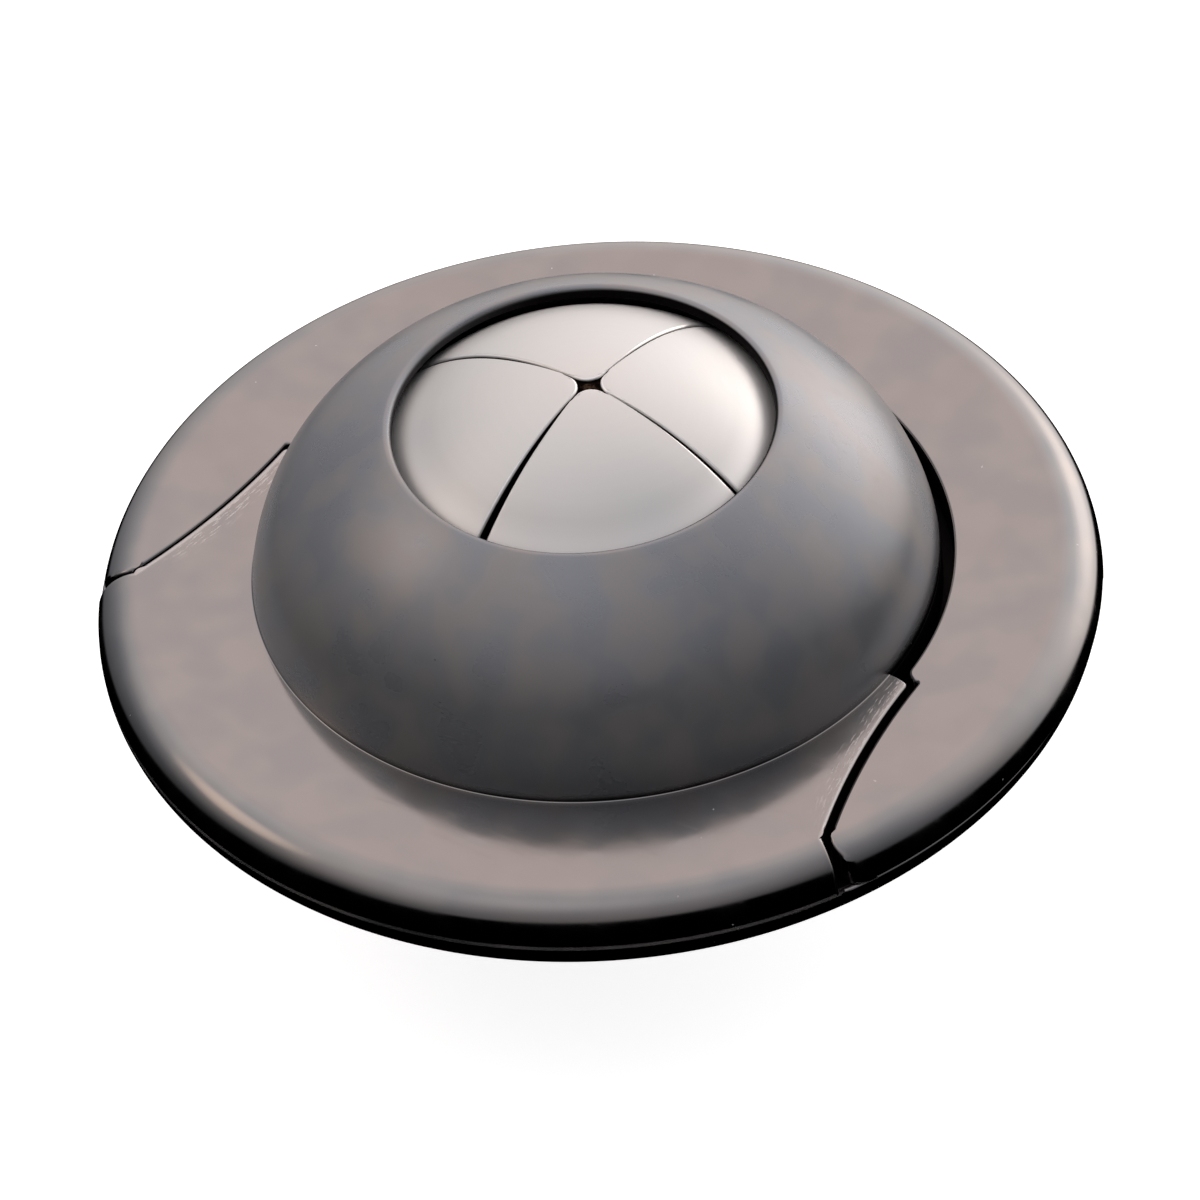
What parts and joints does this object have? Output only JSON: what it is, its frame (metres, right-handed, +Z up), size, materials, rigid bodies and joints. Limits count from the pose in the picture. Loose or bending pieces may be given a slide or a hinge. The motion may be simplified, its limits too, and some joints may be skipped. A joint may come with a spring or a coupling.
{
  "type": "interlocking disc puzzle",
  "caption": "Saucer-shaped metal take-apart puzzle: interlocking disc shells with domed windows hold a ball split into petals that turn and twist inside.",
  "frame": {"origin": "centre of the ball, which is the middle of the whole object", "axes": "+Z up through the middle of the upper dome's window, +X along the half-turn axis that carries one shell onto the other, +Y along the way the shells slide apart"},
  "size_m": [0.0602, 0.06, 0.0344],
  "materials": {
    "dark_nickel": "polished dark nickel plate over a zinc casting",
    "satin_nickel": "satin nickel plate over a zinc casting"
  },
  "bodies": {
    "lower_shell": {"lower_shell": "dark_nickel"},
    "upper_shell": {"upper_shell": "dark_nickel"},
    "petal_back_right": {"petal_back_right": "satin_nickel"},
    "petal_front_right": {"petal_front_right": "satin_nickel"},
    "petal_back_left": {"petal_back_left": "satin_nickel"},
    "petal_front_left": {"petal_front_left": "satin_nickel"}
  },
  "joints": [
    {"name": "shell_slide", "type": "slide", "parent": "lower_shell", "child": "upper_shell", "axis": [0, 1, 0], "range_m": [-0.00025, 0.0001]},
    {"name": "ball_spin", "type": "hinge", "parent": "lower_shell", "child": "petal_back_right", "pos_m": [0, 0, 0], "axis": [0, 0, 1], "continuous": true},
    {"name": "half_ball_twist", "type": "hinge", "parent": "petal_back_right", "child": "petal_front_right", "pos_m": [0, 0, 0], "axis": [0.0593, 0.9982, 0], "continuous": true},
    {"name": "back_petal_play", "type": "hinge", "parent": "petal_back_right", "child": "petal_back_left", "pos_m": [0, 0, 0], "axis": [0.0488, -0.0029, 0.9988], "range_deg": [-0.5, 0.9]},
    {"name": "front_petal_play", "type": "hinge", "parent": "petal_front_right", "child": "petal_front_left", "pos_m": [0, 0, 0], "axis": [0.0244, -0.0014, 0.9997], "range_deg": [-0.05, 2.3]}
  ]
}
